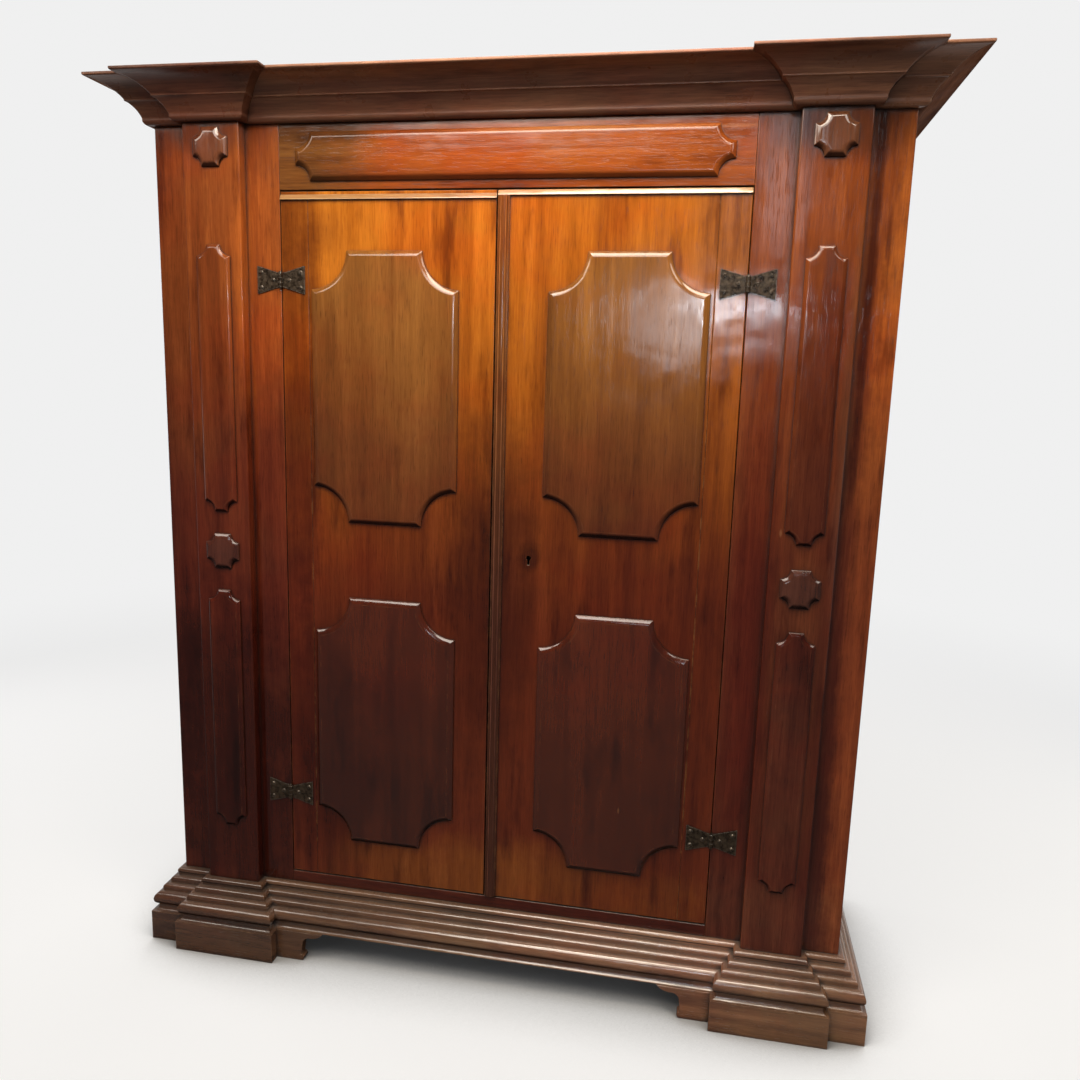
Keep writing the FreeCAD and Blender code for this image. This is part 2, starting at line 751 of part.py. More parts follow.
def door_bolt_pieces():
    centre_x = left_door_free_x - door_bolt_offset
    high = door_high - door_bolt_rest_gap
    low = high - door_bolt_length
    bolt_front = front_y + stile_thickness + rail_back_clearance
    bolt_rear = bolt_front + door_bolt_width
    half = door_bolt_width / 2
    rod = box(centre_x - half, centre_x + half, bolt_front, bolt_rear, low, high)
    knob_z = (low + high) / 2
    knob_root = vector(centre_x, bolt_rear, knob_z)
    knob = Part.makeCylinder(door_bolt_knob_radius, door_bolt_knob_length, knob_root, vector(0, 1, 0))
    save("door_bolt", rod.fuse(knob))
    guides = []
    for share in guide_heights_share:
        z = low + share * door_bolt_length
        wall = half + guide_clearance + guide_wall
        body = box(centre_x - wall, centre_x + wall, door_back_y, bolt_rear + guide_clearance + guide_wall,
                   z - guide_height / 2, z + guide_height / 2)
        room = box(centre_x - half - guide_clearance, centre_x + half + guide_clearance,
                   bolt_front - guide_clearance, bolt_rear + guide_clearance,
                   z - guide_height, z + guide_height)
        guides.append(body.cut(room))
    save("bolt_guides", *guides)


def interior_pieces():
    inner_x = half_width - side_thickness
    inner_back = back_y - back_thickness
    shelf_front = front_y + shelf_front_gap
    shelf = soft_board(-inner_x, inner_x, shelf_front, inner_back, shelf_height,
                       shelf_height + shelf_thickness, 2 * edge_round, "x")
    save("shelf", shelf)
    cleat = box(inner_x - cleat_thickness, inner_x, shelf_front + cleat_thickness, inner_back,
                shelf_height - cleat_height, shelf_height)
    save("shelf_cleats", cleat, mirrored(cleat))
    rail_y = (shelf_front + inner_back) / 2
    rail_start = vector(-inner_x + fit_gap, rail_y, rail_height)
    rail = Part.makeCylinder(rail_radius, 2 * (inner_x - fit_gap), rail_start, vector(1, 0, 0))
    save("hanging_rail", rail)
    half = socket_size / 2
    block = box(inner_x - socket_thickness, inner_x, rail_y - half, rail_y + half, rail_height - half,
                rail_height + half)
    rounded = [e for e in block.Edges if in_plane(e, "x", ())]
    block = block.makeFillet(socket_size / 4, rounded)
    seat_start = vector(-inner_x, rail_y, rail_height)
    seat = Part.makeCylinder(rail_radius + socket_clearance, 2 * inner_x, seat_start, vector(1, 0, 0))
    block = block.cut(seat)
    save("rail_sockets", block, mirrored(block))


base_pieces()
cornice_pieces()
carcass_pieces()
pilaster_pieces()
door_pieces()
hinge_pieces()
lock_pieces()
door_bolt_pieces()
interior_pieces()
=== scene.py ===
import json
import math
from collections import namedtuple
from types import SimpleNamespace

import bmesh
import bpy
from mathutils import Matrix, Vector

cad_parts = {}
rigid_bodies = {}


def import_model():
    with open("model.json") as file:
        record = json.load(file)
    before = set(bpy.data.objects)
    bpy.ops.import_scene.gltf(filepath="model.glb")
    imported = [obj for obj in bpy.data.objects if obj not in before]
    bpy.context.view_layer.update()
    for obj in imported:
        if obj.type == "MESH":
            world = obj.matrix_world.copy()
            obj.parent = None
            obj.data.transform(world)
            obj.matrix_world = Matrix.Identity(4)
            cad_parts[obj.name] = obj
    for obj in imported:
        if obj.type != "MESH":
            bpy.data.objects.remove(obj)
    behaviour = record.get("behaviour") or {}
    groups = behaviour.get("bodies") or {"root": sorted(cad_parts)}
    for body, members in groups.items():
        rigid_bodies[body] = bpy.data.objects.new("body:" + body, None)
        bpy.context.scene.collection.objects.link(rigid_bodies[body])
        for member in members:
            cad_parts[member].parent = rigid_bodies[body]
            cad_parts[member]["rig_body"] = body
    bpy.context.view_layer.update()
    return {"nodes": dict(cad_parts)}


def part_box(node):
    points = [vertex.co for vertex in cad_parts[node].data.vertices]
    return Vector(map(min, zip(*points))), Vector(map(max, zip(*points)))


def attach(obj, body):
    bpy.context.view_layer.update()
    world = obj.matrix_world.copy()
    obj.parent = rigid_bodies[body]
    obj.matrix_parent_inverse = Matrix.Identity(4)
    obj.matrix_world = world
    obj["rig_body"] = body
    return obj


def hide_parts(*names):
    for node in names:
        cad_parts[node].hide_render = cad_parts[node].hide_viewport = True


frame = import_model()

# Metres. The doors face -Y; the fitted camera stands in front of the door plane.
DOOR_PLANE_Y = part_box("front_stile_left")[0].y
CAMERA_OFFSET = Vector((0.4814, -2.0627, 1.5240))
CAMERA_ANGLES_DEG = (80.027, -1.651, 10.718)
CAMERA_LENS_MM = 29.862
SENSOR_MM = 36.0

# How edges are softened
WELD = 0.00002
FLAT_ANGLE = math.radians(0.4)
BEVEL_ANGLE = math.radians(28)
BEVEL_SEGMENTS = 2
NORMAL_WEIGHT = 80
PANEL_EDGE = 0.0014
MOULDING_EDGE = 0.0012
BOARD_EDGE = 0.0010
STRIP_EDGE = 0.0008
IRON_EDGE = 0.0005


# Node graphs

# Sockets of a mix node that are used when it mixes colours
MIX_FIRST, MIX_SECOND, MIX_RESULT = 6, 7, 2


class Graph:
    """A node tree with short calls for the nodes used here."""

    def __init__(self, tree):
        self.tree = tree
        tree.nodes.clear()

    def node(self, kind, inputs=None, **settings):
        made = self.tree.nodes.new(kind)
        for key, value in settings.items():
            setattr(made, key, value)
        for key, value in (inputs or {}).items():
            self.put(made.inputs[key], value)
        return made

    def put(self, socket, value):
        if isinstance(value, bpy.types.NodeSocket):
            self.tree.links.new(value, socket)
        else:
            socket.default_value = value

    def math(self, operation, first, second=0.0, third=0.0, clamp=False):
        inputs = {0: first, 1: second, 2: third}
        return self.node("ShaderNodeMath", inputs, operation=operation, use_clamp=clamp).outputs[0]

    def add(self, first, second, clamp=False):
        return self.math("ADD", first, second, clamp=clamp)

    def times(self, first, second):
        return self.math("MULTIPLY", first, second)

    def times_add(self, first, factor, offset, clamp=False):
        return self.math("MULTIPLY_ADD", first, factor, offset, clamp)

    def less(self, first, second):
        return self.math("SUBTRACT", first, second)

    def most(self, first, second):
        return self.math("MAXIMUM", first, second)

    def vector(self, operation, first, second):
        made = self.node("ShaderNodeVectorMath", {0: first, 1: second}, operation=operation)
        return made.outputs["Value" if operation == "DOT_PRODUCT" else "Vector"]

    def along(self, place, stretch):
        """A place with its third coordinate, the way of the grain, stretched."""
        return self.vector("MULTIPLY", place, (1.0, 1.0, stretch))

    def parts(self, vector):
        return self.node("ShaderNodeSeparateXYZ", {0: vector}).outputs

    def joined(self, x, y, z):
        return self.node("ShaderNodeCombineXYZ", {0: x, 1: y, 2: z}).outputs[0]

    def even(self, value):
        return self.joined(value, value, value)

    def coordinates(self, kind):
        return self.node("ShaderNodeTexCoord").outputs[kind]

    def remap(self, value, low, high, to_low=0.0, to_high=1.0):
        inputs = {"Value": value, "From Min": low, "From Max": high, "To Min": to_low, "To Max": to_high}
        return self.node("ShaderNodeMapRange", inputs, interpolation_type="SMOOTHSTEP").outputs[0]

    def noise(self, place, scale, detail, roughness, distortion=0.0):
        inputs = {"Vector": place, "Scale": scale, "Detail": detail, "Roughness": roughness,
                  "Distortion": distortion}
        return self.node("ShaderNodeTexNoise", inputs).outputs["Fac"]

    def mix(self, factor, first, second, blend="MIX"):
        made = self.node("ShaderNodeMix", data_type="RGBA", blend_type=blend)
        self.put(made.inputs[0], factor)
        self.put(made.inputs[MIX_FIRST], first)
        self.put(made.inputs[MIX_SECOND], second if isinstance(second, bpy.types.NodeSocket)
                 else rgba(second))
        return made.outputs[MIX_RESULT]

    def tint(self, factor, colour, tint):
        return self.mix(factor, colour, tint, "MULTIPLY")

    def ramp(self, value, places, colours):
        made = self.node("ShaderNodeValToRGB", {"Fac": value})
        elements = made.color_ramp.elements
        while len(elements) < len(places):
            elements.new(1.0)
        for element, place, colour in zip(elements, places, colours):
            element.position = place
            element.color = rgba(colour)
        return made.outputs["Color"]

    def bump(self, height, strength, distance, normal=None):
        inputs = {"Height": height, "Strength": strength, "Distance": distance}
        if normal is not None:
            inputs["Normal"] = normal
        return self.node("ShaderNodeBump", inputs).outputs["Normal"]

    def shader(self, kind, inputs):
        return self.node(kind, inputs).outputs[0]


def rgba(colour):
    return (*colour, 1.0)


def start_material(name):
    material = bpy.data.materials.new(name)
    material.use_nodes = True
    return material, Graph(material.node_tree)


# Grain, wear, stains and painted light and shade

GRAIN_ORDER = {"x": (1, 2, 0), "y": (0, 2, 1), "z": (0, 1, 2)}
ISLAND_SHIFT = 7.3
OBJECT_SHIFT = 11.9
WEAR_SAMPLES = 4
CREVICE_REACH = 0.018

# A soft patch on the front, used both for stains and for painted light and shade: its middle, how far it
# reaches across and up, its strength and its tint
StainOrLight = namedtuple("StainOrLight", "x z across up strength tint")
PATCH_CLOUDS = {"scale": 9.0, "detail": 5.0, "roughness": 0.65}
PATCH_CLOUD_SHARE = 1.6
PATCH_RIM = 1.1


def grain_place(graph, axis, stretch):
    """Object coordinates with the grain along the third one, moved apart for each separate board."""
    parts = graph.parts(graph.coordinates("Object"))
    local = graph.joined(*(parts[source] for source in GRAIN_ORDER[axis]))
    island = graph.node("ShaderNodeNewGeometry").outputs["Random Per Island"]
    random = graph.node("ShaderNodeObjectInfo").outputs["Random"]
    shift = graph.add(graph.times(island, ISLAND_SHIFT), graph.times(random, OBJECT_SHIFT))
    return graph.along(graph.vector("ADD", local, graph.even(shift)), stretch), island


def edge_mask(graph, radius):
    """Where a rounded normal leaves the true one, along outer and inner edges."""
    true_normal = graph.node("ShaderNodeNewGeometry").outputs["True Normal"]
    soft = graph.node("ShaderNodeBevel", {"Radius": radius}, samples=WEAR_SAMPLES).outputs[0]
    return graph.remap(graph.vector("DOT_PRODUCT", true_normal, soft), low=0.985, high=0.86)


def crevice_mask(graph):
    """Where a point is closed in by what stands near it."""
    inputs = {"Distance": CREVICE_REACH}
    openness = graph.node("ShaderNodeAmbientOcclusion", inputs, samples=WEAR_SAMPLES).outputs["AO"]
    return graph.remap(openness, low=0.86, high=0.40)


def stain_or_light_mask(graph, parts, plain, stain):
    across = graph.math("DIVIDE", graph.less(parts[0], stain.x), stain.across)
    up = graph.math("DIVIDE", graph.less(parts[2], stain.z), stain.up)
    far = graph.add(graph.times(across, across), graph.times(up, up))
    clouds = graph.times_add(graph.noise(plain, **PATCH_CLOUDS), PATCH_CLOUD_SHARE, -PATCH_CLOUD_SHARE / 2)
    return graph.remap(graph.add(far, clouds), low=PATCH_RIM, high=0.0, to_high=stain.strength)


# Walnut

WALNUT_STRETCH = 0.045
WALNUT_LAYERS = {
    "figure": {"scale": 5.0, "detail": 3.0, "roughness": 0.50, "distortion": 0.2},
    "bands": {"scale": 22.0, "detail": 3.0, "roughness": 0.55},
    "streaks": {"scale": 75.0, "detail": 4.0, "roughness": 0.62},
    "fibres": {"scale": 330.0, "detail": 3.0, "roughness": 0.65},
}
LAYER_SHARES = {"figure": 0.45, "bands": 0.55, "streaks": 0.46, "fibres": 0.42, "island": 0.16}
TONE_MIDDLE = 0.5
TONE_PLACES = (0.15, 0.50, 0.85)
RING_COUNT = 46.0
RING_SHARE = 0.045
PORES = {"scale": 640.0, "detail": 1.0, "roughness": 0.5}
PORE_SHARE = 0.50
PORE_TINT = (0.40, 0.36, 0.36)

SMUDGES = {"scale": 20.0, "detail": 4.0, "roughness": 0.62}
SMUDGE_STRETCH = 4.0
SMUDGE_TINT = (0.40, 0.32, 0.36)
BLOTCHES = {"scale": 2.6, "detail": 5.0, "roughness": 0.62}
RED_SHARE = 0.55
RED_TINT = (1.10, 0.70, 0.70)

# Heights between which the walnut darkens downwards, with a cloudy limit: partly the wood's own patina,
# partly painted shade of light that falls off downwards
FADE_TOP = 1.90
FADE_FOOT = 0.95
FADE_CLOUDS = {"scale": 3.4, "detail": 4.0, "roughness": 0.6}
FADE_CLOUD_HEIGHT = 0.55

EDGE_RADIUS = 0.004
SCUFFS = {"scale": 34.0, "detail": 5.0, "roughness": 0.7}
LEAST_WEAR = 0.06
WORN_WOOD = (0.32, 0.20, 0.11)
KNOCK_SCALE = 16.0
KNOCK_STRETCH = 8.0
KNOCK_RARITY = 0.86
KNOCK_SHARE = 0.40
CREVICE_SHARE = 0.85
# Colour of the grime and painted shade in corners and recesses
CREVICE_GRIME_AND_SHADE = (0.008, 0.004, 0.003)
# Tint of the painted shade on faces that look down
UNDER_SHADE_TINT = (0.12, 0.10, 0.11)
DUST_LOW, DUST_HIGH = 0.20, 0.55
DUST = (0.23, 0.19, 0.155)
INNER_SHARE = 0.90
INNER_WOOD = ((0.085, 0.040, 0.018), (0.165, 0.085, 0.040), (0.260, 0.145, 0.072))

WAVES = {"scale": 7.0, "detail": 2.0, "roughness": 0.5}
WAVE_BUMP = {"strength": 0.22, "distance": 0.010}
RIPPLES = {"scale": 24.0, "detail": 2.0, "roughness": 0.5}
RIPPLE_BUMP = {"strength": 0.16, "distance": 0.003}
FIBRE_BUMP = {"strength": 0.10, "distance": 0.0005}
SMEARS = {"scale": 11.0, "detail": 4.0, "roughness": 0.65}
SMEAR_RANGE = {"low": 0.30, "high": 0.72}
SMOOTHEST, ROUGHEST = 0.8, 1.45
WOOD_ROUGH_LOW, WOOD_ROUGH_HIGH = 0.50, 0.70
CREVICE_ROUGH = 0.30
PORE_ROUGH = 0.10
DULL_ROUGH = 0.35
DULL_SHARE = 0.80


def walnut_surface(graph, axis):
    """The places, the tone of the figure and the masks that the walnut's layers share."""
    grain, island = grain_place(graph, axis, WALNUT_STRETCH)
    plain = graph.coordinates("Object")
    layers = {layer: graph.noise(grain, **look) for layer, look in WALNUT_LAYERS.items()}
    layers["island"] = island
    rings = graph.math("SINE", graph.times(layers["figure"], RING_COUNT))
    tone = graph.times_add(rings, RING_SHARE, TONE_MIDDLE)
    for layer, share in LAYER_SHARES.items():
        tone = graph.add(tone, graph.times(graph.less(layers[layer], TONE_MIDDLE), share))
    return SimpleNamespace(
        grain=grain, plain=plain, tone=tone, fibres=layers["fibres"],
        parts=graph.parts(plain),
        pores=graph.remap(graph.noise(grain, **PORES), low=0.60, high=0.72),
        blotch=graph.noise(plain, **BLOTCHES),
        facing=graph.parts(graph.coordinates("Normal")),
        edge=edge_mask(graph, EDGE_RADIUS),
        crevice=crevice_mask(graph))


def walnut_figure(graph, at, colours, smudge, stains):
    """Streaks, smudges, redder blotches, the darker foot (partly painted shade), pores, and stains with
    painted light and shade.
    """
    dark, mid, light, low_tint = colours
    colour = graph.ramp(at.tone, TONE_PLACES, (dark, mid, light))
    smudges = graph.noise(graph.along(at.grain, SMUDGE_STRETCH), **SMUDGES)
    colour = graph.tint(graph.remap(smudges, low=0.50, high=0.72, to_high=smudge), colour, SMUDGE_TINT)
    colour = graph.tint(graph.remap(at.blotch, low=0.46, high=0.68, to_high=RED_SHARE), colour, RED_TINT)
    clouds = graph.times_add(graph.noise(at.plain, **FADE_CLOUDS), FADE_CLOUD_HEIGHT, -FADE_CLOUD_HEIGHT / 2)
    # Darker downwards: partly patina, partly painted shade of light falling off
    low_down = graph.remap(graph.add(at.parts[2], clouds), low=FADE_TOP, high=FADE_FOOT)
    colour = graph.tint(low_down, colour, low_tint)
    colour = graph.tint(graph.times(at.pores, PORE_SHARE), colour, PORE_TINT)
    for stain in stains:
        colour = graph.tint(stain_or_light_mask(graph, at.parts, at.plain, stain), colour, stain.tint)
    return colour


def walnut_wear(graph, at, colour, light, wear):
    """Rubbed edges, small chips, and grime with painted shade in the corners."""
    bare = tuple((channel + worn) / 2 for channel, worn in zip(light, WORN_WOOD))
    scuffs = graph.remap(graph.noise(at.plain, **SCUFFS), low=0.46, high=0.62)
    colour = graph.mix(graph.times(at.edge, graph.times_add(scuffs, wear, LEAST_WEAR)), colour, bare)
    inputs = {"Vector": graph.along(at.grain, KNOCK_STRETCH), "Scale": KNOCK_SCALE}
    knocks = graph.node("ShaderNodeTexVoronoi", inputs).outputs
    draw = graph.node("ShaderNodeSeparateColor", {0: knocks["Color"]}).outputs[0]
    rare = graph.math("GREATER_THAN", draw, KNOCK_RARITY)
    chips = graph.remap(knocks["Distance"], low=0.07, high=0.02, to_high=KNOCK_SHARE)
    colour = graph.mix(graph.times(chips, rare), colour, bare)
    # Darker in corners and recesses: partly grime, partly painted shade
    return graph.mix(graph.times(at.crevice, CREVICE_SHARE), colour, CREVICE_GRIME_AND_SHADE)


def walnut_shade_and_soil(graph, at, colour, under_grime, dust):
    """Painted shade on faces that look down, dust on top and bare wood towards the back, with masks of the
    painted shade and of the rest.
    """
    # Faces that look down are darkened: painted shade
    under = graph.remap(at.facing[2], low=-0.08, high=-0.45, to_high=under_grime)
    colour = graph.tint(under, colour, UNDER_SHADE_TINT)
    settled = graph.remap(at.blotch, low=0.30, high=0.70, to_low=DUST_LOW * dust, to_high=DUST_HIGH * dust)
    dusty = graph.times(graph.remap(at.facing[2], low=0.80, high=0.97), settled)
    colour = graph.mix(dusty, colour, DUST)
    inner = graph.remap(at.facing[1], low=0.30, high=0.80)
    inner_wood = graph.ramp(at.tone, TONE_PLACES, INNER_WOOD)
    colour = graph.mix(graph.times(inner, INNER_SHARE), colour, inner_wood)
    return colour, under, graph.most(inner, dusty)


def varnish_rough(graph, at, smears, dull, polish):
    """Smeared polish, rougher in corners and pores and where it has gone dull."""
    rough = graph.remap(smears, **SMEAR_RANGE, to_low=polish * SMOOTHEST, to_high=polish * ROUGHEST)
    rough = graph.add(rough, graph.times(at.crevice, CREVICE_ROUGH))
    rough = graph.add(rough, graph.times(at.pores, PORE_ROUGH), clamp=True)
    return graph.times_add(dull, DULL_ROUGH, rough, clamp=True)


def walnut_normal(graph, at):
    """Uneven boards, ripples along the grain, fibres and pores."""
    normal = graph.bump(graph.noise(at.plain, **WAVES), **WAVE_BUMP)
    normal = graph.bump(graph.noise(at.grain, **RIPPLES), **RIPPLE_BUMP, normal=normal)
    return graph.bump(graph.less(at.fibres, at.pores), **FIBRE_BUMP, normal=normal)


def make_walnut(name, axis, colours, polish=0.10, shine=1.0, gloss=1.6, smudge=0.8, wear=0.5,
                under_grime=0.95, dust=1.0, stains=()):
    """Old walnut under a clear varnish: streaked figure, pores, blotches, grime and painted shade in corners,
    rubbed edges.
    """
    material, graph = start_material(name)
    at = walnut_surface(graph, axis)
    colour = walnut_figure(graph, at, colours, smudge, stains)
    colour = walnut_wear(graph, at, colour, colours[2], wear)
    colour, under, dull = walnut_shade_and_soil(graph, at, colour, under_grime, dust)
    smears = graph.noise(at.plain, **SMEARS)
    wood_rough = graph.remap(smears, **SMEAR_RANGE, to_low=WOOD_ROUGH_LOW, to_high=WOOD_ROUGH_HIGH)
    varnish = graph.less(1.0, graph.times(graph.most(dull, under), DULL_SHARE))
    normal = walnut_normal(graph, at)
    shader = graph.node("ShaderNodeBsdfPrincipled", {
        "Base Color": colour, "Roughness": wood_rough, "Normal": normal, "Specular IOR Level": 0.0,
        "Coat Weight": graph.times(varnish, shine), "Coat IOR": gloss, "Coat Normal": normal,
        "Coat Roughness": varnish_rough(graph, at, smears, dull, polish)})
    # The socket's own value is the polish, which holds where the link is dropped
    shader.inputs["Coat Roughness"].default_value = polish
    graph.node("ShaderNodeOutputMaterial", {"Surface": shader.outputs[0]})
    return material


# Softwood

PINE_STRETCH = 0.05
PINE_FIGURE = {"scale": 7.0, "detail": 3.0, "roughness": 0.5, "distortion": 0.5}
PINE_FIBRES = {"scale": 260.0, "detail": 2.0, "roughness": 0.6}
PINE_DUST = {"scale": 4.0, "detail": 5.0, "roughness": 0.65}
PINE_RING_COUNT = 48.0
PINE_RING_SHARE = 0.16
PINE_FIBRE_SHARE = 0.35
PINE_TONE_LOW = 0.30
PINE_BOARD_SHARE = 0.30
PINE_TONE_PLACES = (0.2, 0.5, 0.85)
PINE_COLOURS = ((0.085, 0.045, 0.022), (0.19, 0.105, 0.050), (0.30, 0.18, 0.09))
PINE_DUST_SHARE = 0.40
PINE_DUST_COLOUR = (0.16, 0.125, 0.09)
PINE_CREVICE_SHARE = 0.65
PINE_CORNER_DARK = (0.020, 0.012, 0.008)
PINE_RING_HEIGHT = 0.2
PINE_BUMP = {"strength": 0.30, "distance": 0.0010}
PINE_ROUGH_LOW, PINE_ROUGH_HIGH = 0.62, 0.86
PINE_SPECULAR = 0.25


def make_softwood(axis):
    """Unpolished old pine: growth bands, boards of different tone, dust, and darker corners."""
    material, graph = start_material("softwood_" + axis)
    grain, island = grain_place(graph, axis, PINE_STRETCH)
    bands = graph.math("SINE", graph.times(graph.noise(grain, **PINE_FIGURE), PINE_RING_COUNT))
    fibres = graph.noise(grain, **PINE_FIBRES)
    tone = graph.times_add(bands, PINE_RING_SHARE, graph.times_add(fibres, PINE_FIBRE_SHARE, PINE_TONE_LOW))
    tone = graph.add(tone, graph.times(graph.less(island, TONE_MIDDLE), PINE_BOARD_SHARE))
    colour = graph.ramp(tone, PINE_TONE_PLACES, PINE_COLOURS)
    dust = graph.noise(graph.coordinates("Object"), **PINE_DUST)
    dust = graph.remap(dust, low=0.42, high=0.70, to_high=PINE_DUST_SHARE)
    colour = graph.mix(dust, colour, PINE_DUST_COLOUR)
    colour = graph.mix(graph.times(crevice_mask(graph), PINE_CREVICE_SHARE), colour, PINE_CORNER_DARK)
    rough = graph.remap(fibres, low=0.3, high=0.7, to_low=PINE_ROUGH_LOW, to_high=PINE_ROUGH_HIGH)
    normal = graph.bump(graph.add(fibres, graph.times(bands, PINE_RING_HEIGHT)), **PINE_BUMP)
    shader = graph.shader("ShaderNodeBsdfPrincipled", {
        "Base Color": colour, "Roughness": rough, "Normal": normal, "Specular IOR Level": PINE_SPECULAR})
    graph.node("ShaderNodeOutputMaterial", {"Surface": shader})
    return material


# Iron

IRON_SCALE = {"scale": 90.0, "detail": 4.0, "roughness": 0.6}
IRON_PLACES = (0.32, 0.70)
IRON_COLOURS = ((0.022, 0.014, 0.009), (0.105, 0.074, 0.048))
IRON_ROUGH_LOW, IRON_ROUGH_HIGH = 0.20, 0.42
IRON_RUST = {"scale": 60.0, "detail": 5.0, "roughness": 0.7}
RUST_SHARE = 0.55
RUST = (0.085, 0.032, 0.014)
IRON_EDGE_RADIUS = 0.002
BRIGHT_SHARE = 0.6
BRIGHT_IRON = (0.34, 0.31, 0.27)
HAMMER_SCALE = 130.0
HAMMER_BUMP = {"strength": 0.60, "distance": 0.0016}
SCALE_BUMP = {"strength": 0.25, "distance": 0.0006}
IRON_METAL = 0.55
RUST_METAL_LOSS = 0.4


def make_iron():
    """Hand-forged iron: hammered surface, dark scale, a little rust and bright rubbed edges."""
    material, graph = start_material("hinge_iron")
    plain = graph.coordinates("Object")
    scale = graph.noise(plain, **IRON_SCALE)
    colour = graph.ramp(scale, IRON_PLACES, IRON_COLOURS)
    rust = graph.remap(graph.noise(plain, **IRON_RUST), low=0.55, high=0.72)
    colour = graph.mix(graph.times(rust, RUST_SHARE), colour, RUST)
    colour = graph.mix(graph.times(edge_mask(graph, IRON_EDGE_RADIUS), BRIGHT_SHARE), colour, BRIGHT_IRON)
    hammer = graph.node("ShaderNodeTexVoronoi", {"Vector": plain, "Scale": HAMMER_SCALE}).outputs["Distance"]
    rough = graph.remap(scale, low=0.3, high=0.7, to_low=IRON_ROUGH_LOW, to_high=IRON_ROUGH_HIGH)
    normal = graph.bump(scale, **SCALE_BUMP, normal=graph.bump(hammer, **HAMMER_BUMP))
    metal = graph.less(IRON_METAL, graph.times(rust, RUST_METAL_LOSS))
    shader = graph.shader("ShaderNodeBsdfPrincipled", {
        "Base Color": colour, "Roughness": rough, "Normal": normal, "Metallic": metal})
    graph.node("ShaderNodeOutputMaterial", {"Surface": shader})
    return material


# Colours, stains and painted light and shade of the walnut pieces

# Linear colours: dark streak, middle, light streak, and the tint low down, which is partly painted shade
NO_TINT = (1.0, 1.0, 1.0)
WALNUT = {
    "door": ((0.190, 0.043, 0.005), (0.430, 0.122, 0.009), (0.690, 0.225, 0.020), (0.31, 0.18, 0.60)),
    "panel": ((0.135, 0.046, 0.009), (0.262, 0.098, 0.018), (0.410, 0.170, 0.035), (0.36, 0.155, 0.20)),
    "frame": ((0.090, 0.020, 0.006), (0.205, 0.047, 0.010), (0.370, 0.100, 0.020), (0.49, 0.38, 0.75)),
    "astragal": ((0.100, 0.030, 0.007), (0.225, 0.074, 0.015), (0.370, 0.145, 0.036), (0.30, 0.26, 0.60)),
    # The bead's pale colours are partly painted highlight of the light from above
    "bead": ((0.280, 0.120, 0.040), (0.460, 0.250, 0.100), (0.660, 0.420, 0.210), NO_TINT),
    "boss": ((0.058, 0.019, 0.009), (0.135, 0.047, 0.019), (0.240, 0.092, 0.039), (0.55, 0.45, 0.65)),
    "frieze": ((0.150, 0.032, 0.007), (0.330, 0.075, 0.010), (0.560, 0.150, 0.021), NO_TINT),
    "cornice": ((0.055, 0.021, 0.012), (0.135, 0.055, 0.029), (0.270, 0.122, 0.063), NO_TINT),
    "base": ((0.082, 0.037, 0.019), (0.205, 0.103, 0.053), (0.390, 0.215, 0.115), NO_TINT),
}

SOOT = (0.30, 0.26, 0.34)
DOOR_STAINS_AND_REFLECTION = (
    StainOrLight(0.075, 1.11, 0.035, 0.05, 0.75, SOOT),
    StainOrLight(0.03, 1.02, 0.08, 0.50, 0.65, SOOT),
    StainOrLight(-0.06, 0.95, 0.07, 0.60, 0.55, SOOT),
    StainOrLight(-0.51, 1.52, 0.085, 0.66, 0.90, (0.47, 0.38, 0.56)),
    StainOrLight(-0.50, 0.60, 0.07, 0.45, 0.80, (0.72, 0.55, 0.60)),
    StainOrLight(-0.50, 1.86, 0.14, 0.10, 0.80, (0.62, 0.58, 0.70)),
    StainOrLight(-0.44, 0.55, 0.17, 0.46, 0.85, (0.55, 0.47, 0.52)),
    # Painted reflection: a faint haze of a window's reflection high on the right door
    StainOrLight(0.50, 1.80, 0.09, 0.24, 0.75, (0.74, 0.86, 2.40)),
    StainOrLight(0.05, 0.25, 0.60, 0.14, 0.90, (1.65, 2.60, 1.60)),
)
FRAME_STAINS_LIGHT_AND_SHADE = (
    # Lighter right outer strip: partly its own tone, partly painted light from the right
    StainOrLight(0.85, 0.90, 0.05, 1.30, 0.90, (2.60, 3.20, 2.20)),
    # Painted shadow cast by the right pilaster on the outer strip
    StainOrLight(0.797, 1.78, 0.014, 0.62, 0.95, (0.30, 0.24, 0.32)),
    StainOrLight(-0.70, 0.50, 0.30, 0.62, 0.90, (0.34, 0.24, 0.28)),
    StainOrLight(0.70, 0.75, 0.09, 0.60, 0.70, (1.15, 1.70, 1.50)),
    StainOrLight(0.66, 0.22, 0.32, 0.20, 0.85, (1.20, 1.80, 2.10)),
    StainOrLight(0.772, 1.45, 0.020, 0.55, 0.80, (0.75, 1.10, 1.70)),
    StainOrLight(-0.60, 1.70, 0.07, 0.35, 0.90, (1.50, 1.50, 1.20)),
    # Darker tops of the pilasters: painted shade under the cornice
    StainOrLight(0.72, 2.07, 0.17, 0.10, 0.90, (0.38, 0.42, 0.60)),
    StainOrLight(-0.72, 2.08, 0.17, 0.07, 0.80, (0.45, 0.48, 0.60)),
    StainOrLight(-0.86, 1.20, 0.06, 1.40, 0.80, (0.60, 0.55, 0.60)),
    StainOrLight(0.60, 0.95, 0.06, 0.70, 0.80, (0.80, 0.50, 0.50)),
)
PILASTER_PANEL_STAINS = (
    StainOrLight(0.71, 1.30, 0.075, 0.75, 0.90, (0.50, 0.46, 0.62)),
    StainOrLight(0.70, 0.60, 0.075, 0.40, 0.80, (1.05, 1.60, 1.80)),
    StainOrLight(-0.70, 0.50, 0.090, 0.55, 0.90, (0.36, 0.27, 0.31)),
)
